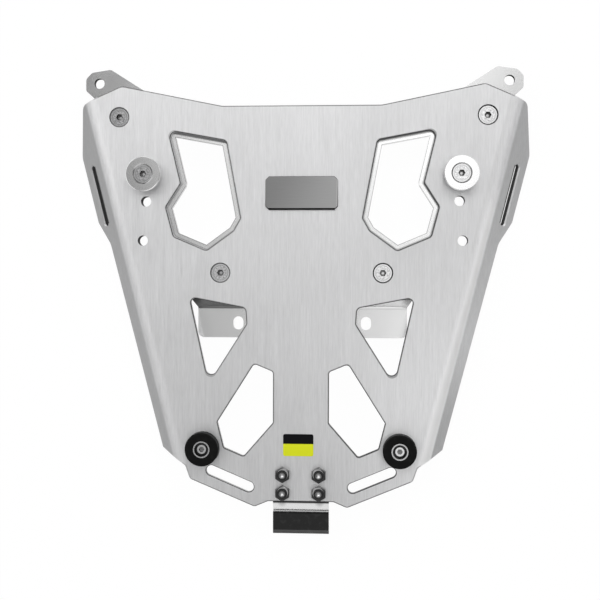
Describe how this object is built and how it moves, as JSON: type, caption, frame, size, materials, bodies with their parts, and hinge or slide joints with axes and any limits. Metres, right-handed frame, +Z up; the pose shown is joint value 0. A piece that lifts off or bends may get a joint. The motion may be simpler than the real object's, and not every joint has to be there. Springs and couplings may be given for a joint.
{
  "type": "top case mounting plate",
  "caption": "Folded metal rear carrier plate for a motorcycle top case, with cut-out windows, seat discs, rubber pucks, support brackets and an adjustable latch at the back.",
  "frame": {"origin": "centre of the main plate's level top face, on the middle line between left and right and midway between the plate's front and rear edges", "axes": "+X to the bike's right, +Y to its front (towards the two ears), +Z up out of the plate's top face"},
  "size_m": [0.3758, 0.3845, 0.0351],
  "materials": {
    "brushed_plate": "brushed lengthwise, silver",
    "bracket_metal": "fine satin, silver",
    "disc_metal": "turned, satin",
    "puck_rubber": "matt black",
    "sleeve_metal": "dark, half polished",
    "pad_rubber": "matt black",
    "badge_metal": "dark grey satin, blank",
    "sticker_film": "two plain colour fields, black over yellow",
    "nut_steel": "plated",
    "latch_bolt_steel": "plated, dull",
    "screw_steel": "plated"
  },
  "bodies": {
    "root": {"badge": "badge_metal", "latch_bracket": "bracket_metal", "latch_nut_1": "latch_bolt_steel", "latch_nut_2": "latch_bolt_steel", "latch_nut_3": "latch_bolt_steel", "latch_nut_4": "latch_bolt_steel", "latch_pad": "pad_rubber", "latch_screw_1": "latch_bolt_steel", "latch_screw_2": "latch_bolt_steel", "latch_screw_3": "latch_bolt_steel", "latch_screw_4": "latch_bolt_steel", "left_case_disc": "disc_metal", "left_disc_nut": "nut_steel", "left_disc_screw": "screw_steel", "left_disc_spacer": "disc_metal", "left_front_bracket_nut": "nut_steel", "left_front_bracket_screw": "screw_steel", "left_puck_nut": "nut_steel", "left_puck_screw": "screw_steel", "left_puck_sleeve": "sleeve_metal", "left_rear_bracket_nut": "nut_steel", "left_rear_bracket_screw": "screw_steel", "left_rubber_puck": "puck_rubber", "left_support_bracket": "bracket_metal", "main_plate": "brushed_plate", "right_case_disc": "disc_metal", "right_disc_nut": "nut_steel", "right_disc_screw": "screw_steel", "right_disc_spacer": "disc_metal", "right_front_bracket_nut": "nut_steel", "right_front_bracket_screw": "screw_steel", "right_puck_nut": "nut_steel", "right_puck_screw": "screw_steel", "right_puck_sleeve": "sleeve_metal", "right_rear_bracket_nut": "nut_steel", "right_rear_bracket_screw": "screw_steel", "right_rubber_puck": "puck_rubber", "right_support_bracket": "bracket_metal", "sticker": "sticker_film"}
  },
  "joints": []
}
